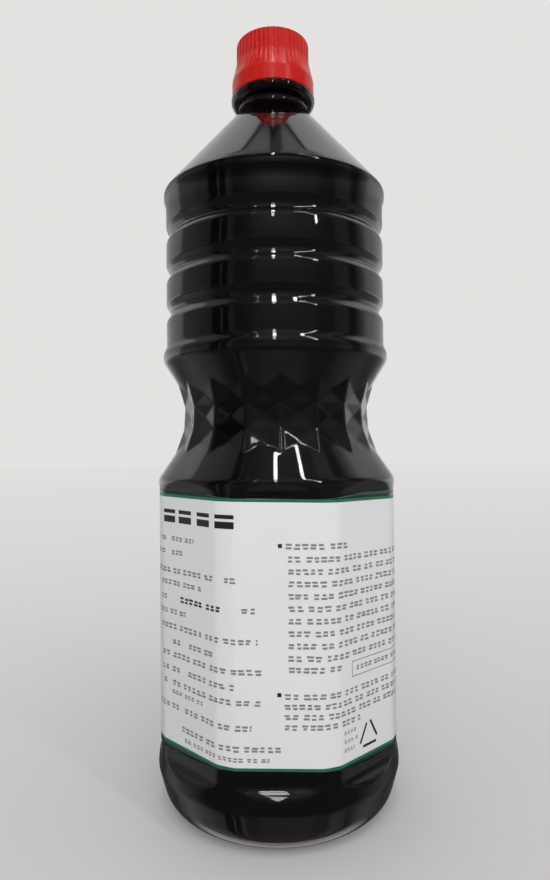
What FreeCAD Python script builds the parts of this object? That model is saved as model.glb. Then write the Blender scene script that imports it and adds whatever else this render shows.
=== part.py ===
"""Clear PET bottle of dark noodle sauce, as a FreeCAD document.

The bottle has a ribbed top, a waist with a faceted grip and an eight-sided label body.
Millimetres, +Z up, origin at the centre of the foot. One label panel faces -Y, the front.
Nodes: bottle (clear shell), sauce (its contents), cap (red screw cap), label (wrap).
"""
import FreeCAD, Part
import math
import os

import Sketcher
from FreeCAD import Placement, Rotation, Vector

SIZES = {
    # lower body
    "body_radius": 51.7,
    "panel_count": 8,
    "trunk_inset": 0.6,           # the panelled trunk is this much slimmer than the base
    "trunk_rise": 2.0,            # from the base to the full trunk
    "panel_depth": 2.6,           # flat panels below the round trunk
    "panel_height": 115.4,        # from the base to the start of the lower flare
    "panel_round": 2.5,           # hollows at both ends of a panel
    "arch_drop": 4.1,             # from the start of the lower flare down to the panel's flat
    "arch_slope": 1.6,            # rise of a panel's upper end for each millimetre outwards
    "wall": 0.8,
    # base
    "base_height": 22.5,          # foot to the lower end of the panels
    "widest_height": 18.0,        # where the base reaches the body radius
    "widest_round": 8.0,
    "heel_inset": 5.0,            # from the body radius to where the taper would meet the floor
    "heel_round": 12.5,
    "foot_inset": 20.7,           # from the body radius to the standing ring's inner edge
    "foot_round": 2.0,
    "pushup_radius": 23.0,
    "pushup_height": 5.0,
    "pushup_crown": 1.5,
    "floor": 1.0,
    # waist: a smooth core between two flares
    "flare_round": 4.0,
    "lower_flare_height": 19.5,
    "core_radius": 37.6,
    "core_height": 12.6,
    "upper_flare_height": 17.5,
    # faceted grip round the waist
    "grip_columns": 18,
    "grip_turn": 3.0,             # degrees from the front to the nearest ridge
    "grip_row_height": 9.55,
    "grip_drop": 0.6,             # middle of the grip below the middle of the core
    "grip_stand": 0.3,            # ends of the ridges and the end cells above the flares
    "ridge_low": 2.8,             # ridges above the core, at the lower and the upper
    "ridge_high": 2.2,            # border of the middle row
    "cell_stand": 0.8,            # deepest point of a middle cell above the core
    # ribbed top
    "band_radius": 47.2,
    "swell_lift": 1.4,            # swell between the waist and the ribs
    "swell_round": 4.5,
    "swell_height": 3.5,
    "swell_slope": 2.6,
    "first_groove": 14.6,         # from the swell to the middle of the lowest groove
    "groove_pitch": 16.85,
    "groove_count": 3,
    "groove_depth": 1.8,
    "groove_width": 7.4,
    "groove_floor": 1.8,
    "groove_round": 2.6,
    "last_band": 14.6,            # from the middle of the highest groove to the bead
    "bead_lift": 0.85,
    "bead_height": 3.1,
    "bead_round": 1.2,
    # shoulder cone, neck and the collar under the cap
    "cone_height": 37.8,
    "bore_radius": 12.2,
    "neck_wall": 2.8,
    "neck_round": 4.0,
    "neck_height": 2.8,
    "collar_width": 3.4,          # collar beyond the neck
    "collar_height": 4.3,
    "collar_round": 3.2,
    "collar_edge": 0.6,
    "finish_wall": 1.8,           # neck inside the cap
    "finish_height": 21.3,
    "fill_height": 6.0,           # level of the sauce above the collar
    # cap
    "cap_gap": 0.3,               # collar to the cap's lower edge
    "cap_clearance": 0.4,
    "cap_wall": 1.5,
    "cap_crown": 2.5,
    "cap_round": 1.0,
    "skirt_inset": 0.4,           # the collar is this much wider than the skirt
    "skirt_height": 6.4,
    "skirt_flare": 8.4,
    "skirt_round": 3.0,
    "flute_count": 48,
    "flute_width": 1.0,
    "flute_depth": 0.45,
    "flute_rise": 0.8,            # slope of a flute's floor, of the flare's slope
    # label
    "label_thickness": 0.2,
    "label_low_margin": 10.5,     # between the label and the ends of the panels
    "label_high_margin": 8.0,
    "label_skew": 1.1,            # degrees, higher at -X
}

doc = FreeCAD.newDocument("sauce_bottle")
sheet = doc.addObject("Spreadsheet::Sheet", "Sizes")
for row, (alias, number) in enumerate(SIZES.items(), start=1):
    sheet.set(f"A{row}", alias)
    sheet.set(f"B{row}", str(number))
    sheet.setAlias(f"B{row}", alias)
doc.recompute()


def total(*names):
    """An expression that adds named sizes to a level; a leading minus takes one away."""
    text = ""
    for name in names:
        sign = "-" if name.startswith("-") else "+"
        name = name.lstrip("-")
        term = f"Sizes.{name}" if name in SIZES else name
        text += f" {sign} {term}" if text else term
    return text


def value(expression):
    return float(sheet.evalExpression(str(expression)))


# Levels, from the foot up.
BASE_TOP = total("base_height")
PANEL_TOP = total("base_height", "panel_height")
CORE_LOW = total(PANEL_TOP, "lower_flare_height")
CORE_HIGH = total(CORE_LOW, "core_height")
SWELL_LOW = total(CORE_HIGH, "upper_flare_height")
SWELL_HIGH = total(SWELL_LOW, "swell_height")
RIBS_LOW = total(SWELL_HIGH, "swell_slope")
GROOVES = "Sizes.groove_pitch * (Sizes.groove_count - 1)"
BEAD_LOW = total(RIBS_LOW, "first_groove", GROOVES, "last_band")
SHOULDER = total(BEAD_LOW, "bead_height")
CONE_TOP = total(SHOULDER, "cone_height")
COLLAR_LOW = total(CONE_TOP, "neck_height")
COLLAR_TOP = total(COLLAR_LOW, "collar_height")
MOUTH = total(COLLAR_TOP, "finish_height")
CAP_LOW = total(COLLAR_TOP, "cap_gap")
CAP_TOP = total(MOUTH, "cap_crown")

# Radii that follow from others.
SWELL_RADIUS = total("band_radius", "swell_lift")
BEAD_RADIUS = total("band_radius", "bead_lift")
NECK_RADIUS = total("bore_radius", "neck_wall")
COLLAR_RADIUS = total(NECK_RADIUS, "collar_width")
FINISH_RADIUS = total("bore_radius", "finish_wall")
CAP_BORE = total(FINISH_RADIUS, "cap_clearance")
CAP_RADIUS = total(CAP_BORE, "cap_wall")
SKIRT_RADIUS = total(COLLAR_RADIUS, "-skirt_inset")
TRUNK_RADIUS = total("body_radius", "-trunk_inset")
PANEL_FACE = total(TRUNK_RADIUS, "-panel_depth")


# ---------------------------------------------------------------- profiles

def origin_plane(body, role):
    return next(item for item in body.Origin.OriginFeatures if item.Role == role)


def new_sketch(body, name, role):
    sketch = body.newObject("Sketcher::SketchObject", name)
    sketch.AttachmentSupport = (origin_plane(body, role), [""])
    sketch.MapMode = "FlatFace"
    return sketch


def pin(sketch, shape, end, across, up, label):
    """Hold a point of the sketch at two expressions, with zero as the axis itself."""
    for kind, axis, expression in (("DistanceX", -2, across), ("DistanceY", -1, up)):
        number = value(expression)
        if abs(number) < 1e-9:
            sketch.addConstraint(Sketcher.Constraint("PointOnObject", shape, end, axis))
            continue
        index = sketch.addConstraint(Sketcher.Constraint(kind, -1, 1, shape, end, number))
        sketch.renameConstraint(index, f"{label}_{kind[-1]}")
        sketch.setExpression(f"Constraints.{label}_{kind[-1]}", str(expression))


def draw_outline(sketch, corners):
    """Closed outline through corners (across, up) or (across, up, round), all expressions."""
    count = len(corners)
    spots = [Vector(value(c[0]), value(c[1]), 0) for c in corners]
    rounds = [value(c[2]) if len(c) > 2 else 0 for c in corners]
    enter, leave, turns = [], [], []
    for i, spot in enumerate(spots):
        before = (spots[i - 1] - spot).normalize()
        after = (spots[(i + 1) % count] - spot).normalize()
        reach = rounds[i] / math.tan(before.getAngle(after) / 2) if rounds[i] else 0
        enter.append(spot + before * reach)
        leave.append(spot + after * reach)
        turns.append(math.copysign(1, after.cross(before).z))
    lines = [
        sketch.addGeometry(Part.LineSegment(leave[i], enter[(i + 1) % count]))
        for i in range(count)
    ]
    for i, corner in enumerate(corners):
        into, out = lines[i - 1], lines[i]
        label = f"corner_{i}"
        if not rounds[i]:
            sketch.addConstraint(Sketcher.Constraint("Coincident", into, 2, out, 1))
            pin(sketch, out, 1, corner[0], corner[1], label)
            continue
        inward = ((enter[i] + leave[i]) * 0.5 - spots[i]).normalize()
        half = math.sqrt(rounds[i] ** 2 + (enter[i] - spots[i]).Length ** 2)
        centre = spots[i] + inward * half
        first, last = (enter[i], leave[i]) if turns[i] > 0 else (leave[i], enter[i])
        start = math.atan2(first.y - centre.y, first.x - centre.x)
        stop = math.atan2(last.y - centre.y, last.x - centre.x)
        circle = Part.Circle(centre, Vector(0, 0, 1), rounds[i])
        arc = sketch.addGeometry(Part.ArcOfCircle(circle, start, stop))
        point = sketch.addGeometry(Part.Point(spots[i]), True)
        arc_in, arc_out = (1, 2) if turns[i] > 0 else (2, 1)
        radius = Sketcher.Constraint("Radius", arc, rounds[i])
        sketch.addConstraint([
            Sketcher.Constraint("Tangent", into, 2, arc, arc_in),
            Sketcher.Constraint("Tangent", arc, arc_out, out, 1),
            Sketcher.Constraint("PointOnObject", point, 1, into),
            Sketcher.Constraint("PointOnObject", point, 1, out),
        ])
        index = sketch.addConstraint(radius)
        sketch.renameConstraint(index, f"{label}_round")
        sketch.setExpression(f"Constraints.{label}_round", str(corner[2]))
        pin(sketch, point, 1, corner[0], corner[1], label)


def turned_body(name, corners):
    """A PartDesign body turned about Z from an outline in the XZ plane."""
    body = doc.addObject("PartDesign::Body", name)
    sketch = new_sketch(body, f"{name}_profile", "XZ_Plane")
    draw_outline(sketch, corners)
    turned = body.newObject("PartDesign::Revolution", f"{name}_turned")
    turned.Profile = sketch
    turned.ReferenceAxis = (sketch, ["V_Axis"])
    turned.Angle = 360
    doc.recompute()
    return body


def cut_round(body, name, corners, width, count):
    """Cut a prism, drawn in the YZ plane on the +Y side, and repeat it about Z."""
    before = body.Shape.Volume
    sketch = new_sketch(body, f"{name}_profile", "YZ_Plane")
    draw_outline(sketch, corners)
    pocket = body.newObject("PartDesign::Pocket", name)
    pocket.Profile = sketch
    pocket.Type = "Length"
    pocket.SideType = "Symmetric"
    pocket.setExpression("Length", width)
    doc.recompute()
    ring = body.newObject("PartDesign::PolarPattern", f"{name}_ring")
    ring.Originals = [pocket]
    ring.Axis = (origin_plane(body, "Z_Axis"), [""])
    ring.Angle = 360
    ring.setExpression("Occurrences", count)
    body.Tip = ring
    doc.recompute()
    one = before - pocket.Shape.Volume
    all_cuts = before - ring.Shape.Volume
    if one <= 0 or all_cuts < 1.5 * one:
        raise RuntimeError(f"{name} cuts {one:.1f} once and {all_cuts:.1f} in all")


# ---------------------------------------------------------------- bottle

def groove_corners(inset):
    """The rib grooves, from below, each with rounded lips and a rounded floor."""
    corners = []
    for i in range(SIZES["groove_count"]):
        middle = total(RIBS_LOW, "first_groove", f"{i} * Sizes.groove_pitch")
        lip = f"Sizes.band_radius - {inset}"
        floor = f"Sizes.band_radius - Sizes.groove_depth - {inset}"
        half = "Sizes.groove_width / 2"
        flat = "Sizes.groove_floor / 2"
        corners += [
            (lip, f"{middle} - {half}", "Sizes.groove_round"),
            (floor, f"{middle} - {flat}", "Sizes.groove_round"),
            (floor, f"{middle} + {flat}", "Sizes.groove_round"),
            (lip, f"{middle} + {half}", "Sizes.groove_round"),
        ]
    return corners


def body_corners(inset, floor):
    """Base, lower body, waist core and ribs, at a depth below the bottle's surface."""
    body = f"Sizes.body_radius - {inset}"
    trunk = f"{TRUNK_RADIUS} - {inset}"
    core = f"Sizes.core_radius - {inset}"
    swell = f"{SWELL_RADIUS} - {inset}"
    return [
        (0, f"Sizes.pushup_height + Sizes.pushup_crown + {floor}"),
        ("Sizes.pushup_radius", f"Sizes.pushup_height + {floor}", "Sizes.foot_round"),
        (total("body_radius", "-foot_inset"), floor),
        (f"{body} - Sizes.heel_inset", floor, f"Sizes.heel_round - {inset}"),
        (body, "Sizes.widest_height", "Sizes.widest_round"),
        (trunk, total(BASE_TOP, "trunk_rise"), "Sizes.widest_round"),
        (trunk, PANEL_TOP, "Sizes.flare_round"),
        (core, CORE_LOW),
        (core, CORE_HIGH),
        (swell, SWELL_LOW, "Sizes.swell_round"),
        (swell, SWELL_HIGH, "Sizes.swell_round"),
        (f"Sizes.band_radius - {inset}", RIBS_LOW, "Sizes.swell_round"),
        *groove_corners(inset),
    ]


def outer_corners():
    return body_corners("0", "0") + [
        ("Sizes.band_radius", BEAD_LOW),
        (BEAD_RADIUS, total(BEAD_LOW, "bead_lift")),
        (BEAD_RADIUS, SHOULDER, "Sizes.bead_round"),
        (NECK_RADIUS, CONE_TOP, "Sizes.neck_round"),
        (NECK_RADIUS, COLLAR_LOW),
        (COLLAR_RADIUS, COLLAR_LOW, "Sizes.collar_round"),
        (COLLAR_RADIUS, COLLAR_TOP, "Sizes.collar_edge"),
        (FINISH_RADIUS, COLLAR_TOP),
        (FINISH_RADIUS, MOUTH),
        (0, MOUTH),
    ]


def inner_corners():
    above = total(MOUTH, "cap_crown")
    return body_corners("Sizes.wall", "Sizes.floor") + [
        ("Sizes.band_radius - Sizes.wall", total(SHOULDER, "-wall"), "Sizes.bead_round"),
        ("Sizes.bore_radius", total(CONE_TOP, "-wall"), "Sizes.neck_round"),
        ("Sizes.bore_radius", above),
        (0, above),
    ]


def panel_corners(inset):
    """Side view of the space outside one flat panel, whose ends slope out, below at 45 degrees."""
    face = f"{PANEL_FACE} - {inset}"
    far = total("body_radius", "panel_round")
    low = total(BASE_TOP, "trunk_inset", "panel_depth")
    high = total(PANEL_TOP, "-arch_drop")
    return [
        (face, low, "Sizes.panel_round"),
        (face, high, "Sizes.panel_round"),
        (far, f"{high} + Sizes.arch_slope * ({far} - ({face}))"),
        (far, f"{low} - {far} + ({face})"),
    ]


def facet(points):
    return Part.Face(Part.makePolygon(points + points[:1]))


def grip_drum(name, inset):
    """Three rows of cells, each sunk to a point with four flat facets, round the waist.

    The top and bottom rows lose their outer facet: their side facets run on into the
    flares, which gives the grip its zigzag borders.
    """
    columns = int(value("Sizes.grip_columns"))
    pitch = 2 * math.pi / columns
    turn = math.radians(value("Sizes.grip_turn")) - math.pi / 2
    height = value("Sizes.grip_row_height")
    middle = value(f"{CORE_LOW} + Sizes.core_height / 2 - Sizes.grip_drop")
    levels = [middle + (i - 1.5) * height for i in range(4)]
    run_out = height / 3
    core = value(f"Sizes.core_radius - {inset}")
    stand = value("Sizes.grip_stand")

    def low_flare(level):
        slope = value(f"({TRUNK_RADIUS} - Sizes.core_radius) / Sizes.lower_flare_height")
        return core + stand + slope * (value(CORE_LOW) - level)

    def high_flare(level):
        slope = value(f"({SWELL_RADIUS} - Sizes.core_radius) / Sizes.upper_flare_height")
        return core + stand + slope * (level - value(CORE_HIGH))

    ridges = [
        low_flare(levels[0]),
        core + value("Sizes.ridge_low"),
        core + value("Sizes.ridge_high"),
        high_flare(levels[3]),
    ]
    cells = [
        low_flare((levels[0] + levels[1]) / 2),
        core + value("Sizes.cell_stand"),
        high_flare((levels[2] + levels[3]) / 2),
    ]

    def spot(radius, angle, level):
        return Vector(radius * math.cos(angle), radius * math.sin(angle), level)

    def beyond(near, far, level):
        """The point at a level on the line through two others."""
        return near + (far - near) * ((level - near.z) / (far.z - near.z))

    def valley(apex, border_near, border_far, level):
        """Where the plane of a side facet meets the middle of its cell, at a level."""
        normal = (border_near - apex).cross(border_far - apex)
        out = Vector(apex.x, apex.y, 0).normalize()
        lift = -normal.z * (level - apex.z) / normal.dot(out)
        return apex + out * lift + Vector(0, 0, level - apex.z)

    faces = []
    caps = {0: [], 2: []}
    for column in range(columns):
        left = turn + column * pitch
        right = left + pitch
        for row in range(3):
            low = [spot(ridges[row], a, levels[row]) for a in (left, right)]
            high = [spot(ridges[row + 1], a, levels[row + 1]) for a in (left, right)]
            apex = spot(cells[row], (left + right) / 2, (levels[row] + levels[row + 1]) / 2)
            if row == 1:
                faces += [facet([low[0], low[1], apex]), facet([high[1], high[0], apex]),
                          facet([low[0], apex, high[0]]), facet([low[1], high[1], apex])]
                continue
            near, far = (high, low) if row == 0 else (low, high)
            end = far[0].z + (run_out if row == 2 else -run_out)
            reach = [beyond(n, f, end) for n, f in zip(near, far)]
            bottom = valley(apex, near[0], far[0], end)
            faces.append(facet([near[0], near[1], apex]))
            faces.append(facet([near[0], reach[0], bottom, apex]))
            faces.append(facet([near[1], apex, bottom, reach[1]]))
            caps[row] += [reach[0], bottom]
    faces += [facet(points) for points in caps.values()]
    drum = doc.addObject("Part::Feature", name)
    solid = Part.makeSolid(Part.makeShell(faces))
    if solid.Volume < 0:
        solid.reverse()
    drum.Shape = solid
    return drum


def vessel(name, corners, inset):
    """Turned form with flat panels, joined to its grip."""
    body = turned_body(f"{name}_form", corners)
    cut_round(body, f"{name}_panels", panel_corners(inset), "2 * Sizes.body_radius",
              "Sizes.panel_count")
    fused = doc.addObject("Part::Fuse", name)
    fused.Base = body
    fused.Tool = grip_drum(f"{name}_grip", inset)
    doc.recompute()
    return fused


def boolean(kind, name, base, tool):
    result = doc.addObject(f"Part::{kind}", name)
    result.Base = base
    result.Tool = tool
    return result


def primitive(kind, name, **sizes):
    item = doc.addObject(f"Part::{kind}", name)
    for key, expression in sizes.items():
        item.setExpression(key, expression)
    return item


outside = vessel("outside", outer_corners(), "0")
inside = vessel("inside", inner_corners(), "Sizes.wall")
bottle = boolean("Cut", "bottle", outside, inside)

# ---------------------------------------------------------------- sauce

below_level = primitive("Cylinder", "below_level", Radius="Sizes.body_radius",
                        Height=total(COLLAR_TOP, "fill_height"))
sauce = boolean("Common", "sauce", inside, below_level)


# ---------------------------------------------------------------- cap

def cap_corners():
    """Skirt that flares to the collar, crown on the mouth, open below over the neck."""
    knee = total(CAP_LOW, "skirt_height")
    return [
        (0, MOUTH),
        (CAP_BORE, MOUTH),
        (CAP_BORE, CAP_LOW),
        (SKIRT_RADIUS, CAP_LOW),
        (SKIRT_RADIUS, knee, "Sizes.skirt_round"),
        (CAP_RADIUS, total(knee, "skirt_flare"), "Sizes.skirt_round"),
        (CAP_RADIUS, CAP_TOP, "Sizes.cap_round"),
        (0, CAP_TOP),
    ]


def flute_corners():
    """Side view of a flute: straight down the cap, then out along the flare."""
    floor = total(CAP_RADIUS, "-flute_depth")
    knee = total(CAP_LOW, "skirt_height", "skirt_flare")
    above = total(CAP_TOP, "cap_crown")
    reach = f"({SKIRT_RADIUS} - ({floor}) + Sizes.cap_wall)"
    slope = f"Sizes.flute_rise * Sizes.skirt_flare / ({SKIRT_RADIUS} - ({CAP_RADIUS}))"
    return [
        (floor, knee),
        (f"{floor} + {reach}", f"{knee} - {slope} * {reach}"),
        (f"{floor} + {reach}", above),
        (floor, above),
    ]


cap = turned_body("cap", cap_corners())
cut_round(cap, "flutes", flute_corners(), "Sizes.flute_width", "Sizes.flute_count")

# ---------------------------------------------------------------- label


def sleeve():
    """Eight-sided solid one label thickness outside the panels."""
    round_part = primitive("Cylinder", "label_round", Height=CORE_LOW,
                           Radius=total(TRUNK_RADIUS, "label_thickness"))
    flat_part = primitive("Prism", "label_flats", Height=CORE_LOW, Polygon="Sizes.panel_count")
    face = f"({total(PANEL_FACE, 'label_thickness')})"
    flat_part.setExpression("Circumradius", f"{face} / cos(180deg / Sizes.panel_count)")
    flat_part.setExpression("Placement.Rotation.Angle", "180deg / Sizes.panel_count")
    return boolean("Common", "label_sleeve", round_part, flat_part)


band = primitive("Cylinder", "label_band", Radius="2 * Sizes.body_radius",
                 Height=total("panel_height", "-label_low_margin", "-label_high_margin"))
band.Placement = Placement(Vector(0, 0, 0), Rotation(Vector(0, 1, 0), 1))
band.setExpression("Placement.Rotation.Angle", "Sizes.label_skew * 1deg")
band.setExpression("Placement.Base.z", total(BASE_TOP, "label_low_margin"))
wrap = boolean("Common", "label_wrap", sleeve(), band)
label = boolean("Cut", "label", wrap, outside)

# ---------------------------------------------------------------- check and write

doc.recompute()
for item in doc.Objects:
    if {"Invalid", "Error"} & set(item.State):
        raise RuntimeError(f"{item.Name} failed: {item.State}")

os.makedirs("parts", exist_ok=True)
for node in (bottle, sauce, cap, label):
    node.Label = node.Name
    shape = node.Shape
    if shape.isNull() or not shape.isValid() or len(shape.Solids) != 1:
        raise RuntimeError(f"{node.Name} isn't one valid solid")
    shape.exportStep(f"parts/{node.Name}.step")
    print(f"{node.Name}: {shape.Volume / 1000:.1f} ml, {len(shape.Faces)} faces")
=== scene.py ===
"""Looks of the noodle sauce bottle: clear ribbed PET, dark sauce, red cap and a printed wrap.

Blender 4.5, metres, +Z up, origin at the centre of the foot, front panel facing -Y. Sizes are
written in millimetres and turned to metres where a mesh is made. Azimuth is measured from the
front towards +X.
"""
import math
import random

import bpy
import numpy as np
from mathutils import Matrix, Vector


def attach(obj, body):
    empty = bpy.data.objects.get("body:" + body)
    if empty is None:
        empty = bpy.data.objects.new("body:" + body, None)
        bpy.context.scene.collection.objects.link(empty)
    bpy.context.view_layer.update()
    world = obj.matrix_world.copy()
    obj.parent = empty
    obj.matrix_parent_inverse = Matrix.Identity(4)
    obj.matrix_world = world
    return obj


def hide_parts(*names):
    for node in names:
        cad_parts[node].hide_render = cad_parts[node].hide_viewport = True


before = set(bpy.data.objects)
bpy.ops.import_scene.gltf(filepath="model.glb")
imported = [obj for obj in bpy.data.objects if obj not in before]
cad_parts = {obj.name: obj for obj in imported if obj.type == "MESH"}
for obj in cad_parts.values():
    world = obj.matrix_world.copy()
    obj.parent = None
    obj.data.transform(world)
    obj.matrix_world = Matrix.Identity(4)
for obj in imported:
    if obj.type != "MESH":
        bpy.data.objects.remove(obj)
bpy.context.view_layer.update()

MM = 0.001

# ---------------------------------------------------------------- sizes, millimetres

# Radii are measured from the axis and levels from the foot; ROUND and EDGE are rounded corners.

DOME, FOOT = 23.0, 31.0     # dome under the foot, inner edge of the ring it stands on
DOME_CROWN, DOME_RIM = 6.5, 5.0
DOME_ROUND = 2.0
BODY = 51.7                 # widest ring of the base
WIDEST = 18.0               # its level
WIDEST_ROUND = 8.0
HEEL_INSET = 5.0            # from the widest ring to where the base's taper meets the floor
HEEL_ROUND = 12.5
TRUNK = 51.1                # panelled trunk above the base
TRUNK_LOW = 24.5
FLARE_LOW = 137.9           # where the trunk starts to narrow to the waist
FLARE_ROUND = 4.0
PANELS = 8
PANEL_FACE = 48.5           # distance of a flat panel from the axis
PANEL_LOW, PANEL_TOP = 25.7, 133.8
ARCH_SLOPE = 1.6            # rise of a panel's upper end for each millimetre outwards
PANEL_BLEND = 1.0           # hollows at the ends of a panel
PANEL_EDGE = 0.35           # softness of the edges round a panel
PANEL_ZONE = (16, 150)      # levels that the panels and their ends may reach
WALL = 0.8
FLOOR = 1.0
CORE = 37.6                 # waist
CORE_LOW, CORE_HIGH = 157.4, 170.0
SWELL = 48.6                # first swell above the waist
SWELL_LOW, SWELL_HIGH = 187.5, 191.0
SWELL_ROUND = 4.5
BAND = 47.2                 # ribbed part between the grooves
RIBS_LOW = 193.6
GROOVES = (208.2, 225.05, 241.9)
GROOVE_DEPTH = 1.8
GROOVE_HALF, GROOVE_FLAT = 3.7, 0.9
GROOVE_ROUND = 2.6
BEAD = 48.05                # rim that stands out under the shoulder
BEAD_LOW, SHOULDER = 256.5, 259.6
BEAD_ROUND = 1.2
NECK, BORE = 15.0, 12.2
NECK_ROUND = 4.0
CONE_TOP = 297.4
COLLAR = 18.4
COLLAR_LOW, COLLAR_TOP = 300.2, 304.5
COLLAR_ROUND, COLLAR_EDGE = 3.2, 0.6
FINISH, MOUTH = 14.0, 325.8
MOUTH_EDGE = 0.3

LEVEL = 310.5               # of the sauce, inside the cap
MENISCUS = 0.5              # how far it climbs at the wall
SAUCE_REACH = 0.2           # how far the sauce goes into the wall, so that no air gap shows
SAUCE_FLOOR_REACH = 0.8     # and into the floor

GRIP_COLUMNS = 18
GRIP_TURN = 3.0             # degrees from the front to the nearest ridge
GRIP_ROW = 9.55             # height of a row of cells
GRIP_LEVELS = (148.775, 158.325, 167.875, 177.425)
RIDGES = (43.86, 40.4, 39.8, 42.57)     # at these levels; the ends stand 0.3 above the flares
CELLS = (40.56, 38.4, 39.57)            # at the middle of each row
GRIP_ZONE = (141.0, 186.0)  # levels that the grip may reach
FACETED = (17, 187)         # levels between which the body isn't round

CAP, SKIRT = 15.9, 18.0
CAP_BORE = 14.4
CAP_LOW, CAP_TOP = 304.8, 328.3
SKIRT_TOP, FLARE_TOP = 311.2, 319.6
CAP_ROUND, CAP_EDGE = 1.1, 0.3
SKIRT_ROUND, SKIRT_EDGE = 3.0, 0.35
FLUTES = 48
FLUTE_DEPTH = 0.45
FLUTE_RISE = 0.8            # slope of a flute's floor, of the flare's slope

LABEL = 0.2                 # thickness of the wrap
LABEL_LOW, LABEL_HEIGHT = 33.0, 96.9
LABEL_SKEW = math.tan(math.radians(1.1))
LABEL_INSIDE = 0.02         # its inner face, outside the body
GREEN_LINE = 1.1            # width of the line at both edges
SEAM_START, SEAM_END = 172.5, 186.0     # glued overlap at the back, degrees from the front
SEAM_FADE = 14.0            # degrees over which it falls off
SEAM_LIFT = 0.16
INK_SUNK, INK_PROUD = 0.03, 0.04        # print below and above the wrap's outer face


# ---------------------------------------------------------------- mesh helpers

def soft_min(a, b, softness):
    """The lesser of two values, rounded off where they meet."""
    blend = np.maximum(softness - np.abs(a - b), 0) / softness
    return np.minimum(a, b) - blend * blend * softness / 4


def soft_max(a, b, softness):
    return -soft_min(-a, -b, softness)


def smooth(share):
    """Ease a share of 0 to 1 in and out."""
    return share * share * (3 - 2 * share)


def outline(corners):
    """Points along corners (radius, height) or (radius, height, round), rounds as short chords."""
    points = [np.array(corners[0][:2], float)]
    for before, corner, after in zip(corners, corners[1:], corners[2:]):
        spot = np.array(corner[:2], float)
        if len(corner) < 3:
            points.append(spot)
            continue
        into = np.array(before[:2]) - spot
        out = np.array(after[:2]) - spot
        into /= np.linalg.norm(into)
        out /= np.linalg.norm(out)
        opening = math.acos(max(-1.0, min(1.0, float(into @ out))))
        reach = corner[2] / math.tan(opening / 2)
        middle = (into + out) / np.linalg.norm(into + out)
        centre = spot + middle * corner[2] / math.sin(opening / 2)
        first, last = spot + into * reach - centre, spot + out * reach - centre
        start, stop = math.atan2(first[1], first[0]), math.atan2(last[1], last[0])
        turn = (stop - start + math.pi) % (2 * math.pi) - math.pi
        step = 13 if corner[2] < 3 else 6
        pieces = max(3, math.ceil(abs(math.degrees(turn)) / step))
        for k in range(pieces + 1):
            angle = start + turn * k / pieces
            points.append(centre + corner[2] * np.array([math.cos(angle), math.sin(angle)]))
    points.append(np.array(corners[-1][:2], float))
    return points


def filled(points, zones):
    """More points on the long straights: zones are (low, high, spacing), from below."""
    borders = [z for zone in zones for z in zone[:2]]
    rows = [points[0]]
    for a, b in zip(points, points[1:]):
        cuts = sorted({0.0, 1.0} | {float((z - a[1]) / (b[1] - a[1])) for z in borders
                                    if min(a[1], b[1]) < z < max(a[1], b[1])})
        for start, stop in zip(cuts, cuts[1:]):
            level = a[1] + (b[1] - a[1]) * (start + stop) / 2
            spacing = next((s for low, high, s in zones if low <= level <= high), 1e9)
            length = np.linalg.norm(b - a) * (stop - start)
            pieces = max(1, math.ceil(length / spacing - 1e-6))
            rows += [a + (b - a) * (start + (stop - start) * (k + 1) / pieces)
                     for k in range(pieces)]
    return rows


def ring(radius, height, count, form):
    """Points round the axis at one height, with the radius that a form gives each azimuth."""
    angles = np.arange(count) * 2 * math.pi / count
    r = form(np.full(count, float(radius)), np.full(count, float(height)), angles)
    return np.stack([r * np.sin(angles), -r * np.cos(angles), np.full(count, height)], 1)


def bridge(a, b, first_a, first_b):
    """Faces between two rings; one may have a whole number of times the other's points."""
    n, m = len(a), len(b)
    if n == m:
        return [(first_a + j, first_a + (j + 1) % n, first_b + (j + 1) % n, first_b + j)
                for j in range(n)]
    faces = []
    if n > m:
        k = n // m
        for j in range(m):
            fine = [first_a + (j * k + i) % n for i in range(k + 1)]
            faces.append(tuple(fine + [first_b + (j + 1) % m, first_b + j]))
    else:
        k = m // n
        for j in range(n):
            fine = [first_b + (j * k + i) % m for i in range(k, -1, -1)]
            faces.append(tuple([first_a + j, first_a + (j + 1) % n] + fine))
    return faces


def mesh_object(name, points, faces):
    """A smooth mesh in the scene, from points in millimetres."""
    mesh = bpy.data.meshes.new(name)
    mesh.from_pydata([tuple(p) for p in np.asarray(points) * MM], [], faces)
    mesh.validate()
    mesh.shade_smooth()
    piece = bpy.data.objects.new(name, mesh)
    bpy.context.scene.collection.objects.link(piece)
    return piece


def turned(name, rings, closed_on_axis=True):
    """Mesh through rings of points, ended by one point on the axis at each end or joined up."""
    points, firsts, faces = [], [], []
    for r in rings:
        firsts.append(len(points))
        points += list(r)
    pairs = list(zip(range(len(rings)), range(1, len(rings))))
    if not closed_on_axis:
        pairs.append((len(rings) - 1, 0))
    for i, k in pairs:
        faces += bridge(rings[i], rings[k], firsts[i], firsts[k])
    if closed_on_axis:
        for index, flip in ((0, False), (len(rings) - 1, True)):
            first, count = firsts[index], len(rings[index])
            centre = len(points)
            points.append(np.array([0, 0, rings[index][:, 2].mean()]))
            for j in range(count):
                a, b = first + j, first + (j + 1) % count
                faces.append((centre, a, b) if flip else (centre, b, a))
    return mesh_object(name, points, faces)


# ---------------------------------------------------------------- forms of the vessel

def panels(height, azimuth, inset):
    """Radius of the eight flat panels, which slope out at both ends."""
    pitch = 2 * math.pi / PANELS
    local = (azimuth + pitch / 2) % pitch - pitch / 2
    slope = np.maximum(PANEL_LOW - height, (height - PANEL_TOP) / ARCH_SLOPE)
    return (PANEL_FACE - inset + soft_max(slope, 0 * slope, PANEL_BLEND)) / np.cos(local)


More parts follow.
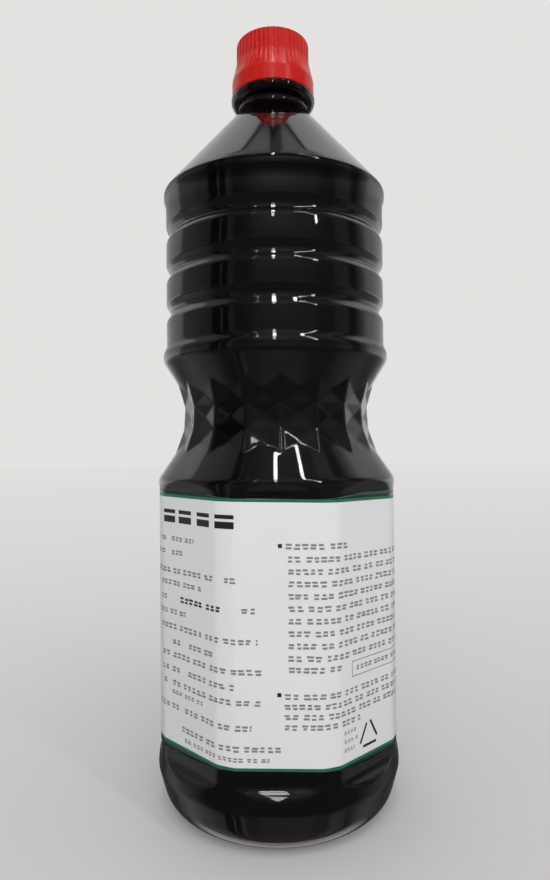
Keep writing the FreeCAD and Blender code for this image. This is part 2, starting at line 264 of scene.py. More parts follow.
def plane_radius(corners, turn, height):
    """Radius at which a plane through three spots (angle, radius, level) meets a direction."""
    a, b, c = [np.array([r * math.cos(t), r * math.sin(t), z]) for t, r, z in corners]
    normal = np.cross(b - a, c - a)
    return (normal @ a - normal[2] * height) / (normal[0] * np.cos(turn) + normal[1] * np.sin(turn))


def grip(height, azimuth, inset):
    """Radius of the faceted grip: three rows of sunk cells between straight ridges.

    All heights are one level. The outer facets of the end rows are left out, so that their
    side facets run on into the flares.
    """
    pitch = 2 * math.pi / GRIP_COLUMNS
    turn = np.abs((azimuth - math.radians(GRIP_TURN)) % pitch - pitch / 2)
    row = int(np.clip(np.searchsorted(GRIP_LEVELS, height[0]) - 1, 0, len(CELLS) - 1))
    low, high = GRIP_LEVELS[row], GRIP_LEVELS[row + 1]
    apex = (0, CELLS[row] - inset, (low + high) / 2)
    feet = [(s * pitch / 2, RIDGES[row] - inset, low) for s in (1, -1)]
    heads = [(s * pitch / 2, RIDGES[row + 1] - inset, high) for s in (1, -1)]
    surface = plane_radius((feet[0], heads[0], apex), turn, height)
    if row > 0:
        surface = np.maximum(surface, plane_radius((*feet, apex), turn, height))
    if row < len(CELLS) - 1:
        surface = np.maximum(surface, plane_radius((*heads, apex), turn, height))
    return surface


def vessel_form(inset):
    """The function that turns a turned radius into the vessel's, at a depth below its surface."""
    def form(radius, height, azimuth):
        level = height[0]
        if PANEL_ZONE[0] < level < PANEL_ZONE[1]:
            radius = soft_min(radius, panels(height, azimuth, inset), PANEL_EDGE)
        if GRIP_ZONE[0] < level < GRIP_ZONE[1]:
            radius = np.maximum(radius, grip(height, azimuth, inset))
        return radius
    return form


def body_outline(inset, floor):
    """Base, body, waist and ribs as corners, at a depth below the surface."""
    corners = [
        (0, DOME_CROWN + floor),
        (DOME, DOME_RIM + floor, DOME_ROUND),
        (FOOT, floor),
        (BODY - HEEL_INSET - inset, floor, HEEL_ROUND - inset),
        (BODY - inset, WIDEST, WIDEST_ROUND),
        (TRUNK - inset, TRUNK_LOW, WIDEST_ROUND),
        (TRUNK - inset, FLARE_LOW, FLARE_ROUND),
        (CORE - inset, CORE_LOW),
        (CORE - inset, CORE_HIGH),
        (SWELL - inset, SWELL_LOW, SWELL_ROUND),
        (SWELL - inset, SWELL_HIGH, SWELL_ROUND),
        (BAND - inset, RIBS_LOW, SWELL_ROUND),
    ]
    crest, trough = BAND - inset, BAND - GROOVE_DEPTH - inset
    for middle in GROOVES:
        corners += [
            (crest, middle - GROOVE_HALF, GROOVE_ROUND),
            (trough, middle - GROOVE_FLAT, GROOVE_ROUND),
            (trough, middle + GROOVE_FLAT, GROOVE_ROUND),
            (crest, middle + GROOVE_HALF, GROOVE_ROUND),
        ]
    return corners


def outer_outline():
    """The whole outside, from the dome under the foot to the mouth's inner edge."""
    return body_outline(0, 0) + [
        (BAND, BEAD_LOW),
        (BEAD, BEAD_LOW + BEAD - BAND),
        (BEAD, SHOULDER, BEAD_ROUND),
        (NECK, CONE_TOP, NECK_ROUND),
        (NECK, COLLAR_LOW),
        (COLLAR, COLLAR_LOW, COLLAR_ROUND),
        (COLLAR, COLLAR_TOP, COLLAR_EDGE),
        (FINISH, COLLAR_TOP),
        (FINISH, MOUTH, MOUTH_EDGE),
        (BORE, MOUTH),
    ]


def inner_outline(inset, floor, top):
    """The inside up to a level; inset and floor are its depth below the outer surface."""
    bore = BORE + WALL - inset
    return body_outline(inset, floor) + [
        (BAND - inset, SHOULDER - inset, BEAD_ROUND),
        (bore, CONE_TOP - inset, NECK_ROUND),
        (bore, top),
    ]


def with_grip_rows(rows, step):
    """The turned rows, with evenly spaced ones through the grip that meet its levels."""
    heights = np.array([r[1] for r in rows])
    radii = np.array([r[0] for r in rows])
    first = next(i for i, h in enumerate(heights) if h > GRIP_ZONE[0])
    last = max(i for i, h in enumerate(heights) if h < GRIP_ZONE[1] and i >= first)
    below = math.floor((GRIP_LEVELS[0] - GRIP_ZONE[0]) / step)
    above = math.floor((GRIP_ZONE[1] - GRIP_LEVELS[0]) / step)
    levels = [GRIP_LEVELS[0] + k * step for k in range(-below, above + 1)]
    span = slice(first - 1, last + 2)
    grid = [np.array([np.interp(z, heights[span], radii[span]), z]) for z in levels]
    return (rows[:first] + grid
            + [r for r in rows[last + 1:] if r[1] > GRIP_ZONE[1] or r[1] < GRIP_ZONE[0]])


def softened(rings):
    """The rings with the grip's edges and valleys rounded, as blow moulding leaves them."""
    result = list(rings)
    for i in range(1, len(rings) - 1):
        around = rings[i - 1:i + 2]
        same = len(around[0]) == len(around[1]) == len(around[2])
        if same and GRIP_ZONE[0] + 1 < rings[i][0, 2] < GRIP_ZONE[1] - 1:
            mixed = 0.25 * around[0] + 0.5 * around[1] + 0.25 * around[2]
            result[i] = 0.25 * np.roll(mixed, 1, 0) + 0.5 * mixed + 0.25 * np.roll(mixed, -1, 0)
    return result


def skin(rows, form, plain, faceted):
    """Rings through rows of (radius, height): more points round the faceted part of the body."""
    rings = []
    for radius, height in rows:
        shaped = FACETED[0] < height < FACETED[1] and radius > FOOT - 1
        rings.append(ring(radius, height, faceted if shaped else plain, form))
    return softened(rings)


def make_bottle():
    """Closed PET shell: foot, outer skin, mouth and inner skin.

    Rows lie close where a panel ends and in the grip, and far apart on the straight trunk.
    """
    outer = filled(outline(outer_outline()), [
        (0.5, 17, 1.4), (17, 28, 0.7), (28, 129, 20), (129, 148, 0.9), (259, 297, 4.0),
    ])
    inner = filled(outline(inner_outline(WALL, FLOOR, MOUTH - MOUTH_EDGE)), [
        (20, 30, 2), (129, 148, 2), (148, 186, 2.4),
    ])
    rings = skin(with_grip_rows(outer, GRIP_ROW / 18)[1:], vessel_form(0), 180, 360)
    inner_form = vessel_form(WALL)
    for radius, height in reversed(inner[1:]):
        rings.append(ring(radius, height, 90, inner_form))
    return turned("bottle_shell", rings)


def make_sauce():
    """The sauce up to its level, with a surface that climbs a little at the wall."""
    inset, floor = WALL - SAUCE_REACH, FLOOR - SAUCE_FLOOR_REACH
    rows = filled(outline(inner_outline(inset, floor, LEVEL + MENISCUS)), [
        (0.5, 28, 1.5), (28, 129, 25), (129, 148, 1.0), (259, 297, 6),
    ])
    rows = with_grip_rows(rows, GRIP_ROW / 10)
    form = vessel_form(inset)
    rings = skin(rows[1:], form, 90, 180)
    bore = rows[-1][0]
    for share, drop in ((0.95, 0.70), (0.85, 0.96), (0.5, 1.0)):
        rings.append(ring(bore * share, LEVEL + MENISCUS - MENISCUS * drop, 90, form))
    return turned("sauce_fill", rings)


# ---------------------------------------------------------------- cap

def make_cap():
    """Fluted cap whose skirt flares out over the collar, open below."""
    corners = [
        (0, CAP_TOP),
        (CAP, CAP_TOP, CAP_ROUND),
        (CAP, FLARE_TOP, SKIRT_ROUND),
        (SKIRT, SKIRT_TOP, SKIRT_ROUND),
        (SKIRT, CAP_LOW, SKIRT_EDGE),
        (CAP_BORE, CAP_LOW, CAP_EDGE),
        (CAP_BORE, MOUTH),
        (0, MOUTH),
    ]
    rows = filled(outline(corners), [(312, 328, 0.8), (304, 312, 1.2)])
    slope = (SKIRT - CAP) / (FLARE_TOP - SKIRT_TOP)

    def fluted(radius, height, azimuth):
        """Flutes with soft edges, whose floor rises towards the skirt until they run out."""
        floor = CAP - FLUTE_DEPTH + np.maximum(FLARE_TOP - height, 0) * slope / FLUTE_RISE
        phase = (azimuth * FLUTES / (2 * math.pi)) % 1
        aside = np.clip((0.5 - np.abs(phase - 0.5)) * 2, 0, 1)
        groove = smooth(1 - np.clip((aside - 0.35) / 0.3, 0, 1))
        return radius - np.maximum(radius - floor, 0) * groove

    def plain(radius, height, azimuth):
        return radius

    rings = []
    for radius, height in rows[1:-1]:
        if radius > CAP - CAP_ROUND - 0.1 and height > SKIRT_TOP:
            rings.append(ring(radius, height, FLUTES * 12, fluted))
        else:
            rings.append(ring(radius, height, FLUTES * 3, plain))
    return turned("cap_red", rings[::-1])


# ---------------------------------------------------------------- label

def sleeve(azimuth, lift):
    """Radius of the wrap round the eight-sided body, with its glued overlap at the back."""
    pitch = 2 * math.pi / PANELS
    local = (azimuth + pitch / 2) % pitch - pitch / 2
    radius = soft_min(np.full_like(azimuth, TRUNK), PANEL_FACE / np.cos(local), PANEL_EDGE)
    behind = np.degrees(azimuth) % 360
    overlap = SEAM_LIFT * np.clip((SEAM_END - behind) / SEAM_FADE, 0, 1) * (behind > SEAM_START)
    return radius + lift + overlap * (lift > LABEL_INSIDE)


def distances(azimuths):
    """Distances round the wrap's outer face, from the front to each azimuth."""
    radii = sleeve(azimuths, LABEL)
    spots = np.stack([radii * np.sin(azimuths), -radii * np.cos(azimuths)], 1)
    along = np.concatenate([[0], np.cumsum(np.linalg.norm(np.diff(spots, axis=0), axis=1))])
    return along - np.interp(0, azimuths, along)


AZIMUTHS = np.radians(np.arange(-180, 180.01, 0.1))
ALONG = distances(AZIMUTHS)


def on_label(along, up, lift):
    """Point of the wrap at a distance round it from the front and above its lower edge."""
    azimuth = np.interp(along, ALONG, AZIMUTHS)
    radius = sleeve(np.atleast_1d(azimuth), lift)[0]
    x = radius * math.sin(azimuth)
    return (x, -radius * math.cos(azimuth), LABEL_LOW + up - LABEL_SKEW * x)


def make_label():
    """Wrap of film: white field, a green line at both edges and a clear margin beyond them."""
    count = 360
    azimuth = np.arange(count) * 2 * math.pi / count
    aside = np.abs(np.degrees((azimuth + math.pi) % (2 * math.pi) - math.pi))
    margin = 0.15 + 2.0 * smooth(np.clip((aside - 18) / 30, 0, 1))
    line, top = GREEN_LINE, LABEL_HEIGHT + GREEN_LINE
    ups = [-margin - line, -line, 0, 24, 48, 72, LABEL_HEIGHT, top, top + margin]
    rings = []
    for lift, levels in ((LABEL, ups), (LABEL_INSIDE, ups[::-1])):
        radius = sleeve(azimuth, lift)
        x, y = radius * np.sin(azimuth), -radius * np.cos(azimuth)
        for up in levels:
            rings.append(np.stack([x, y, LABEL_LOW + line / 2 + up - LABEL_SKEW * x], 1))
    piece = turned("label_wrap", rings, closed_on_axis=False)
    bands = len(ups) - 1
    for polygon in piece.data.polygons:
        row = polygon.index // count
        row = row if row < bands else 2 * bands - row
        if row in (0, bands - 1):
            polygon.material_index = 2
        elif row in (1, bands - 2):
            polygon.material_index = 1
    return piece


def ink_bar(points, faces, start, end, width):
    """Add one thin closed bar of print from start to end, each (along, up)."""
    start, end = np.array(start, float), np.array(end, float)
    way = end - start
    length = np.linalg.norm(way)
    across = np.array([-way[1], way[0]]) / length * width / 2
    pieces = max(1, math.ceil(length / 1.5))
    sunk, proud = LABEL - INK_SUNK, LABEL + INK_PROUD
    first = len(points)
    for k in range(pieces + 1):
        middle = start + way * k / pieces
        for side, lift in ((-across, sunk), (across, sunk), (across, proud), (-across, proud)):
            points.append(on_label(*(middle + side), lift))
    for k in range(pieces):
        a, b = first + 4 * k, first + 4 * (k + 1)
        for i in range(4):
            j = (i + 1) % 4
            faces.append((a + i, a + j, b + j, b + i))
    last = first + 4 * pieces
    faces.append((first + 3, first + 2, first + 1, first))
    faces.append((last, last + 1, last + 2, last + 3))


def text_row(bars, chance, start, stop, up, height):
    """A row of greeked text: each glyph is two short bars, one over the other, set in words."""
    gap, space = 0.3, height * 0.45
    spot = start
    word = chance.randint(2, 5)
    while spot < stop - 0.8:
        width = min(height * chance.uniform(0.72, 0.92), stop - spot)
        for side in (1, -1):
            level = up + side * height * chance.uniform(0.16, 0.24)
            first = spot + width * chance.uniform(0, 0.25)
            last = spot + width * chance.uniform(0.75, 1)
            bars.append(((first, level), (last, level), height * 0.25))
        spot += width + gap
        word -= 1
        if word == 0:
            spot += space
            word = chance.randint(2, 5)


def print_rows():
    """Rows of print in the left and the right column, as (start, stop, up, glyph height).

    Start and stop are distances round the wrap from the front, up is above its lower edge.
    """
    left = [
        (-58.6, -53.2, 81.0, 2.6), (-50.4, -36.3, 81.0, 2.6),
        (-61.8, -54.6, 75.6, 2.6), (-50.5, -43.2, 75.6, 2.6),
        (-62.1, -25.2, 68.4, 3.0), (-20.4, -15.4, 68.4, 3.0),
        (-58.2, -30.9, 63.5, 2.8),
        (-58.6, -53.9, 57.5, 2.8), (-13.4, -6.9, 57.5, 3.0),
        (-60.5, -41.6, 52.0, 2.8),
        (-58.6, -7.3, 46.2, 3.0),
        (-50.2, -45.0, 40.3, 3.0), (-39.8, -25.5, 40.3, 3.0),
        (-57.2, -5.6, 35.2, 3.1),
        (-57.5, -45.8, 29.5, 3.0), (-40.6, -15.9, 29.5, 3.0),
        (-56.1, -52.8, 24.0, 2.8), (-50.4, -6.1, 24.0, 3.0),
        (-50.5, -31.4, 20.4, 2.2),
        (-59.7, -45.8, 14.8, 2.8), (-42.6, -9.8, 14.8, 3.0),
        (-44.7, 1.4, 7.2, 3.0),
        (-42.8, -3.3, 3.3, 2.2),
    ]
    right = [(2.8, 29.3, 81.3, 3.2)]
    right += [(3.7, 73.0, 76.6 - 4.53 * k, 3.1) for k in range(9)]
    right += [(3.6, 24.5, 36.2, 3.1), (32.9, 68.0, 34.4, 2.6)]
    right += [(2.2, 72.0, 26.5, 3.0), (2.0, 73.0, 22.8, 3.0), (2.1, 68.0, 19.1, 3.0),
              (2.0, 35.2, 15.4, 3.0)]
    right += [(25.4, 32.7, 11.6, 1.8), (25.4, 33.3, 8.4, 1.8), (25.4, 31.6, 5.2, 1.8)]
    return left, right


def make_print():
    """Greeked print on the wrap: grey rows and a box, black title, row, dots and a triangle."""
    chance = random.Random(7)
    left, right = print_rows()
    grey, black = [], []
    for start, stop, up, height in left + right:
        text_row(grey, chance, start, stop, up, height)
    text_row(black, chance, -45.3, -21.3, 57.5, 3.2)
    for start, stop in ((-55.5, -48.1), (-45.7, -37.9), (-34.3, -27.0), (-23.9, -15.9)):
        for up, thick in ((91.8, 1.5), (88.7, 2.6)):
            black.append(((start, up), (stop, up), thick))
    dot = 1.5
    for along, up in ((1.0, 81.5), (0.3, 27.2)):
        black.append(((along - dot / 2, up), (along + dot / 2, up), dot))
    corners = [np.array(corner) for corner in ((40.2, 14.0), (46.5, 3.6), (33.9, 3.6))]
    for a, b in zip(corners, corners[1:] + corners[:1]):
        black.append((a + (b - a) * 0.14, a + (b - a) * 0.80, 1.0))
    box_left, box_right, box_low, box_high = 30.4, 67.5, 31.6, 37.2
    for up in (box_low, box_high):
        grey.append(((box_left, up), (box_right, up), 0.3))
    for along in (box_left, box_right):
        grey.append(((along, box_low), (along, box_high), 0.3))
    pieces = []
    for name, bars in (("print_grey", grey), ("print_black", black)):
        points, faces = [], []
        for start, end, width in bars:
            ink_bar(points, faces, start, end, width)
        piece = mesh_object(name, points, faces)
        piece.data.set_sharp_from_angle(angle=math.radians(30))
        pieces.append(piece)
    return pieces


# ---------------------------------------------------------------- materials

def new_material(name):
    """Fresh node material: itself, its nodes, its links and its shader."""
    material = bpy.data.materials.new(name)
    material.use_nodes = True
    nodes, links = material.node_tree.nodes, material.node_tree.links
    return material, nodes, links, nodes["Principled BSDF"]


def math_node(nodes, links, operation, *values, kind="ShaderNodeMath"):
    """A maths node on numbers and sockets; gives its result."""
    node = nodes.new(kind)
    node.operation = operation
    for socket, value in zip(node.inputs, values):
        if isinstance(value, (int, float)):
            socket.default_value = value
        else:
            links.new(value, socket)
    return node.outputs[0]


def mix_colours(nodes, links, share, first, second):
    """Colour between two others, by a share."""
    node = nodes.new("ShaderNodeMix")
    node.data_type = "RGBA"
    for socket, value in ((node.inputs["Factor"], share), (node.inputs[6], first),
                          (node.inputs[7], second)):
        links.new(value, socket)
    return node.outputs[2]


def object_noise(nodes, links, scale, detail=2.0, stretch=(1, 1, 1)):
    """Noise in the object's own metres."""
    place = nodes.new("ShaderNodeTexCoord")
    squeeze = nodes.new("ShaderNodeMapping")
    squeeze.inputs["Scale"].default_value = stretch
    noise = nodes.new("ShaderNodeTexNoise")
    noise.inputs["Scale"].default_value = scale
    noise.inputs["Detail"].default_value = detail
    links.new(place.outputs["Object"], squeeze.inputs["Vector"])
    links.new(squeeze.outputs["Vector"], noise.inputs["Vector"])
    return noise


def bump(nodes, links, shader, height, strength, distance):
    node = nodes.new("ShaderNodeBump")
    node.inputs["Strength"].default_value = strength
    node.inputs["Distance"].default_value = distance
    links.new(height, node.inputs["Height"])
    links.new(node.outputs["Normal"], shader.inputs["Normal"])


def ramp(nodes, links, factor, stops):
    """Colour ramp with stops (place, colour)."""
    node = nodes.new("ShaderNodeValToRGB")
    elements = node.color_ramp.elements
    while len(elements) < len(stops):
        elements.new(0.5)
    for element, (place, colour) in zip(elements, stops):
        element.position = place
        element.color = (*colour, 1)
    links.new(factor, node.inputs["Fac"])
    return node


def tones(nodes, links, value, low, high, table):
    """Grey over a value that runs from low to high, from a table of (value, tone)."""
    share = nodes.new("ShaderNodeMapRange")
    share.inputs["From Min"].default_value = low
    share.inputs["From Max"].default_value = high
    links.new(value, share.inputs["Value"])
    stops = [((place - low) / (high - low), (tone,) * 3) for place, tone in table]
    return ramp(nodes, links, share.outputs["Result"], stops).outputs["Color"]


def pet_material():
    """Clear, faintly wavy PET with a little scuffing."""
    material, nodes, links, shader = new_material("clear_pet")
    shader.inputs["Base Color"].default_value = (0.93, 0.95, 0.94, 1)
    shader.inputs["Transmission Weight"].default_value = 1.0
    shader.inputs["IOR"].default_value = 1.57
    wave = object_noise(nodes, links, 28, 0.0, (1, 1, 0.6))
    bump(nodes, links, shader, wave.outputs["Fac"], 0.3, 0.0008)
    scuff = object_noise(nodes, links, 60, 2)
    rough = ramp(nodes, links, scuff.outputs["Fac"],
                 [(0.35, (0.012,) * 3), (0.62, (0.018,) * 3), (0.8, (0.03,) * 3)])
    links.new(rough.outputs["Color"], shader.inputs["Roughness"])
    return material


def sauce_material():
    """Near-black in depth, with a painted brown glow at the foot and the neck that stands in for
    light shining through the thin sauce there.
    """
    material, nodes, links, shader = new_material("dark_sauce")
    shader.inputs["Roughness"].default_value = 0.25
    shader.inputs["IOR"].default_value = 1.36
    shader.inputs["Specular IOR Level"].default_value = 0.1
    place = nodes.new("ShaderNodeTexCoord")
    split = nodes.new("ShaderNodeSeparateXYZ")
    links.new(place.outputs["Object"], split.inputs["Vector"])
    level = nodes.new("ShaderNodeMapRange")
    level.inputs["From Max"].default_value = 0.33
    links.new(split.outputs["Z"], level.inputs["Value"])
    # Painted glow: the brown thin colour and the stops at the foot and near the top stand in for
    # light coming through thin sauce, since this sauce is opaque.
    deep, thin = (0.003, 0.002, 0.002), (0.075, 0.016, 0.010)
    colour = ramp(nodes, links, level.outputs["Result"],
                  [(0.0, thin), (0.012, (0.05, 0.012, 0.008)), (0.032, deep), (0.86, deep),
                   (0.93, (0.012, 0.004, 0.0035))])
    links.new(colour.outputs["Color"], shader.inputs["Base Color"])
    return material


def cap_material():
    material, nodes, links, shader = new_material("red_cap")
    grain = object_noise(nodes, links, 420, 3)
    colour = ramp(nodes, links, grain.outputs["Fac"],
                  [(0.3, (0.48, 0.012, 0.009)), (0.7, (0.54, 0.016, 0.012))])
    links.new(colour.outputs["Color"], shader.inputs["Base Color"])
    shader.inputs["Roughness"].default_value = 0.24
    shader.inputs["Specular IOR Level"].default_value = 0.25
    shader.inputs["Subsurface Weight"].default_value = 0.06
    shader.inputs["Subsurface Radius"].default_value = (0.002, 0.0005, 0.0004)
    bump(nodes, links, shader, grain.outputs["Fac"], 0.08, 0.0002)
    return material


def film_material():
    material, nodes, links, shader = new_material("label_film")
    cloud = object_noise(nodes, links, 55, 3)
    colour = ramp(nodes, links, cloud.outputs["Fac"],
                  [(0.3, (0.775, 0.785, 0.80)), (0.7, (0.80, 0.81, 0.825))])
    links.new(colour.outputs["Color"], shader.inputs["Base Color"])
    shader.inputs["Roughness"].default_value = 0.42
    shader.inputs["Specular IOR Level"].default_value = 0.4
    wrinkle = object_noise(nodes, links, 70, 2, (1, 1, 0.25))
    bump(nodes, links, shader, wrinkle.outputs["Fac"], 0.10, 0.0006)
    return material


def ink_material(name, tone, roughness=0.5):
    material, nodes, links, shader = new_material(name)
    speck = object_noise(nodes, links, 900, 2)
    dark, light = [tuple(c * k for c in tone) for k in (0.85, 1.15)]
    colour = ramp(nodes, links, speck.outputs["Fac"], [(0.35, dark), (0.65, light)])
    links.new(colour.outputs["Color"], shader.inputs["Base Color"])
    shader.inputs["Roughness"].default_value = roughness
    return material


# ---------------------------------------------------------------- pieces

bottle, sauce, cap, label = make_bottle(), make_sauce(), make_cap(), make_label()
print_grey, print_black = make_print()

ink_grey = ink_material("ink_grey", (0.24, 0.24, 0.245))
ink_black = ink_material("ink_black", (0.018, 0.018, 0.018))
ink_green = ink_material("ink_green", (0.014, 0.16, 0.075), 0.35)
ink_green_thin = ink_material("ink_green_thin", (0.003, 0.028, 0.018), 0.12)

dress = (
    (bottle, "bottle", "clear_pet", [pet_material()]),
    (sauce, "sauce", "dark_sauce", [sauce_material()]),
    (cap, "cap", "red_cap", [cap_material()]),
    (label, "label", "label_film", [film_material(), ink_green, ink_green_thin]),
)
for piece, node, slot, materials in dress:
    for material in materials:
        piece.data.materials.append(material)
    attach(piece, "root")
    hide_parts(node)
for piece, material in ((print_grey, ink_grey), (print_black, ink_black)):
    piece.data.materials.append(material)
    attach(piece, "root")

# ---------------------------------------------------------------- stage

BACKDROP = (0.775, 0.762, 0.748)


def make_floor():
    """Pale floor that keeps shadows near the bottle and melts into the backdrop far away."""
    count, radii = 96, (0.3, 0.8, 2, 6)
    points, faces = [(0, 0, 0)], []
    for radius in radii:
        for k in range(count):
            turn = 2 * math.pi * k / count
            points.append((radius * math.cos(turn) / MM, radius * math.sin(turn) / MM, 0))
    for k in range(count):
        faces.append((0, 1 + k, 1 + (k + 1) % count))
        for band in range(len(radii) - 1):
            a, b = 1 + band * count, 1 + (band + 1) * count
            faces.append((a + k, b + k, b + (k + 1) % count, a + (k + 1) % count))
    floor = mesh_object("stage_floor", points, faces)
    floor.location.z = -0.00005
    material, nodes, links, shader = new_material("stage_floor")
    tint = object_noise(nodes, links, 6, 3)
    colour = ramp(nodes, links, tint.outputs["Fac"],
                  [(0.3, (0.54, 0.53, 0.52)), (0.7, (0.56, 0.55, 0.54))])
    links.new(colour.outputs["Color"], shader.inputs["Base Color"])
    shader.inputs["Roughness"].default_value = 0.8
    shader.inputs["Specular IOR Level"].default_value = 0.1
    far = nodes.new("ShaderNodeEmission")
    far.inputs["Color"].default_value = (*BACKDROP, 1)
    place = nodes.new("ShaderNodeTexCoord")
    length = nodes.new("ShaderNodeVectorMath")
    length.operation = "LENGTH"
    links.new(place.outputs["Object"], length.inputs[0])
    spread = math_node(nodes, links, "ADD", length.outputs["Value"], 0.2)
    fade = math_node(nodes, links, "DIVIDE", length.outputs["Value"], spread)
    mix = nodes.new("ShaderNodeMixShader")
    links.new(fade, mix.inputs["Fac"])
    links.new(shader.outputs["BSDF"], mix.inputs[1])
    links.new(far.outputs["Emission"], mix.inputs[2])
    links.new(mix.outputs["Shader"], nodes["Material Output"].inputs["Surface"])
    floor.data.materials.append(material)
    floor.visible_glossy = False


# Surroundings that the gloss shows, by azimuth from the front: a dim room behind the camera
# with a darker strip on each side, and pale surfaces beside and behind the bottle.
ROOM = (
    (-180, 0.85), (-130, 1.00), (-116, 1.10), (-111, 1.00), (-107, 0.42), (-86, 0.38), (-80, 0.30),
    (-69, 0.26), (-66, 0.03), (-57.5, 0.03), (-56, 0.38), (-54.5, 0.03), (-49, 0.04), (-47, 0.28),
    (-43, 0.20), (-40, 0.10), (-26, 0.11), (-22, 0.16), (30, 0.17), (38, 0.18), (45, 0.13),
    (60, 0.12), (65, 0.27), (80, 0.29), (83, 0.10), (90, 0.10), (94, 0.26), (100, 0.45),
    (110, 1.05), (130, 1.00), (180, 0.85),
)
# How much of that is seen at each height of the direction: most at the horizon and straight up or
# down, less between.
RISE = (
    (-1.0, 1.0), (-0.85, 1.0), (-0.6, 0.4), (-0.35, 0.3), (-0.15, 0.4), (-0.08, 0.6),
    (-0.03, 1.0), (0.08, 0.9), (0.2, 0.6), (0.4, 0.6), (0.6, 0.9), (1.0, 0.9),
)
# Below the horizon, by azimuth: the ground beside the bottle is lighter than before or behind it.
# GROUND_SHARE says at which heights of the direction it stands in for the room.
GROUND = (
    (-180, 0.07), (-135, 0.08), (-110, 0.42), (-85, 0.26), (-70, 0.05), (70, 0.05), (90, 0.20),
    (110, 0.26), (135, 0.08), (180, 0.07),
)
GROUND_SHARE = ((-0.82, 0), (-0.72, 1), (-0.35, 1), (-0.15, 0))
# Nearly overhead, what the shoulder shows, by how far back of an oblique line the direction leans:
# dim before it, a thin dark edge, then pale. OVERHEAD_DARK is a darker wedge across all that: its
# two sides, as the lean aside for each lean back, and its tone.
OVERHEAD = (
    (-1.0, 0.09), (-0.40, 0.10), (-0.20, 0.30), (-0.06, 0.45), (-0.009, 0.45), (-0.004, 0.09),
    (0.003, 0.09), (0.009, 0.85), (1.0, 0.85),
)
OVERHEAD_DARK = (-0.07, 0.2, 0.38)
OVERHEAD_FROM = (0.86, 0.90)    # heights of the direction over which that patch comes in
AMBIENT = 0.33


def overhead_patch(nodes, links, split):
    """Tone of the directions nearly overhead, from how far back and how far aside they lean."""
    aside, back = split.outputs["X"], split.outputs["Y"]
    lean = math_node(nodes, links, "MULTIPLY_ADD", math_node(nodes, links, "ABSOLUTE", aside),
                     -0.27, back)
    beyond = math_node(nodes, links, "SUBTRACT", lean, 0.31)
    edge = tones(nodes, links, beyond, -1, 1, OVERHEAD)
    low, high, dim = OVERHEAD_DARK
    turn = math_node(nodes, links, "DIVIDE", aside, math_node(nodes, links, "MAXIMUM", back, 0.01))
    wedge = ((-1, 1), (low - 0.03, 1), (low, dim), (high - 0.04, dim), (high + 0.04, 1))
    dark = tones(nodes, links, turn, -1, 1, wedge)
    return math_node(nodes, links, "MULTIPLY", edge, dark, kind="ShaderNodeVectorMath")


def make_world():
    """Plain light for matt surfaces, the room for gloss and the pale backdrop for the camera."""
    world = bpy.data.worlds.new("studio")
    bpy.context.scene.world = world
    world.use_nodes = True
    nodes, links = world.node_tree.nodes, world.node_tree.links
    nodes.clear()
    place = nodes.new("ShaderNodeTexCoord")
    split = nodes.new("ShaderNodeSeparateXYZ")
    links.new(place.outputs["Generated"], split.inputs["Vector"])
    height = split.outputs["Z"]
    front = math_node(nodes, links, "MULTIPLY", split.outputs["Y"], -1)
    azimuth = math_node(nodes, links, "ARCTAN2", split.outputs["X"], front)
    degrees = math_node(nodes, links, "DEGREES", azimuth)
    room = tones(nodes, links, degrees, -180, 180, ROOM)
    rise = tones(nodes, links, height, -1, 1, RISE)
    lit = math_node(nodes, links, "MULTIPLY", room, rise, kind="ShaderNodeVectorMath")
    ground = tones(nodes, links, degrees, -180, 180, GROUND)
    share = tones(nodes, links, height, -1, 1, GROUND_SHARE)
    around = mix_colours(nodes, links, share, lit, ground)
    low, high = OVERHEAD_FROM
    near_top = tones(nodes, links, height, low, high, ((low, 0), (high, 1)))
    seen = mix_colours(nodes, links, near_top, around, overhead_patch(nodes, links, split))
    plain, gloss, backdrop = [nodes.new("ShaderNodeBackground") for _ in range(3)]
    plain.inputs["Color"].default_value = (AMBIENT, AMBIENT, AMBIENT * 1.01, 1)
    backdrop.inputs["Color"].default_value = (*BACKDROP, 1)
    links.new(seen, gloss.inputs["Color"])
    path = nodes.new("ShaderNodeLightPath")
    output = nodes.new("ShaderNodeOutputWorld")
    shown = plain
    for ray, other in (("Is Glossy Ray", gloss), ("Is Camera Ray", backdrop)):
        mix = nodes.new("ShaderNodeMixShader")
        links.new(path.outputs[ray], mix.inputs["Fac"])
        links.new(shown.outputs[0], mix.inputs[1])
        links.new(other.outputs[0], mix.inputs[2])
        shown = mix
    links.new(shown.outputs[0], output.inputs["Surface"])


make_floor()
make_world()

LAMP_AIM = Vector((0, 0, 0.2))


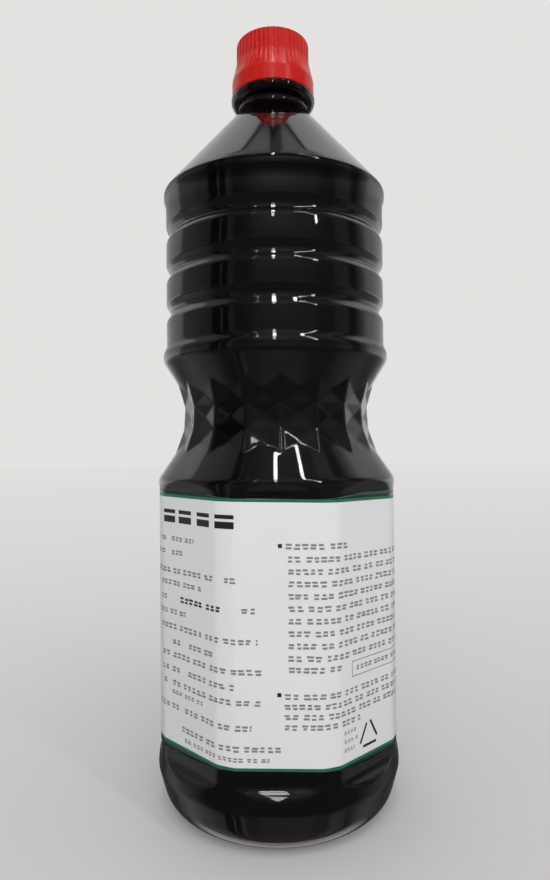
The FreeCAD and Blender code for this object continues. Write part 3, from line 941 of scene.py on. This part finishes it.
def make_lamp(name, azimuth, elevation, size, radiance, distance=1.2, in_gloss=True):
    """Rectangular lamp aimed at the bottle; radiance is how bright its face looks."""
    turn, rise = math.radians(azimuth), math.radians(elevation)
    back = Vector((math.sin(turn) * math.cos(rise), -math.cos(turn) * math.cos(rise),
                   math.sin(rise)))
    light = bpy.data.lights.new(name, "AREA")
    light.shape = "RECTANGLE"
    light.size, light.size_y = size
    light.energy = radiance * math.pi * size[0] * size[1]
    lamp = bpy.data.objects.new(name, light)
    lamp.location = LAMP_AIM + back * distance
    lamp.rotation_mode = "QUATERNION"
    lamp.rotation_quaternion = back.to_track_quat("Z", "Y")
    lamp.visible_glossy = in_gloss
    lamp.visible_camera = False
    bpy.context.scene.collection.objects.link(lamp)


# Narrow lamps that draw the highlights: two tall rows, a short one, a level strip and a rim.
make_lamp("lamp_front_low", -1, 28, (0.05, 0.16), 12)
make_lamp("lamp_front_middle", -1, 46, (0.055, 0.42), 7)
make_lamp("lamp_front_high", -1, 65, (0.055, 0.34), 22)
make_lamp("lamp_right_low", 42, 27, (0.045, 0.24), 22)
make_lamp("lamp_right_middle", 41, 43, (0.045, 0.40), 7)
make_lamp("lamp_right_high", 40, 62, (0.045, 0.32), 22)
make_lamp("lamp_left", -24, 55, (0.035, 0.045), 30)
make_lamp("lamp_strip", 2, 34, (0.55, 0.015), 1.3)
make_lamp("lamp_rim", -24, 47, (0.02, 0.5), 2.5)
# Broad soft light on matt surfaces, which the gloss doesn't show.
make_lamp("key_soft", 4, 38, (1.2, 1.2), 2.35, distance=1.5, in_gloss=False)
make_lamp("fill_back", 200, 40, (1.4, 1.4), 0.6, distance=1.5, in_gloss=False)

# ---------------------------------------------------------------- camera

CAMERA_SPOT = Vector((-0.46, -290.8, 149.8)) * MM
CAMERA_PITCH = math.radians(90.83)
CAMERA_ROLL = -0.009

camera_data = bpy.data.cameras.new("camera")
camera_data.lens = 27
camera_data.sensor_width = 36
camera = bpy.data.objects.new("camera", camera_data)
camera.matrix_world = (
    Matrix.Translation(CAMERA_SPOT)
    @ Matrix.Rotation(CAMERA_PITCH, 4, "X")
    @ Matrix.Rotation(CAMERA_ROLL, 4, "Z")
)
bpy.context.scene.collection.objects.link(camera)
bpy.context.scene.camera = camera

bpy.context.scene.view_settings.view_transform = "Standard"
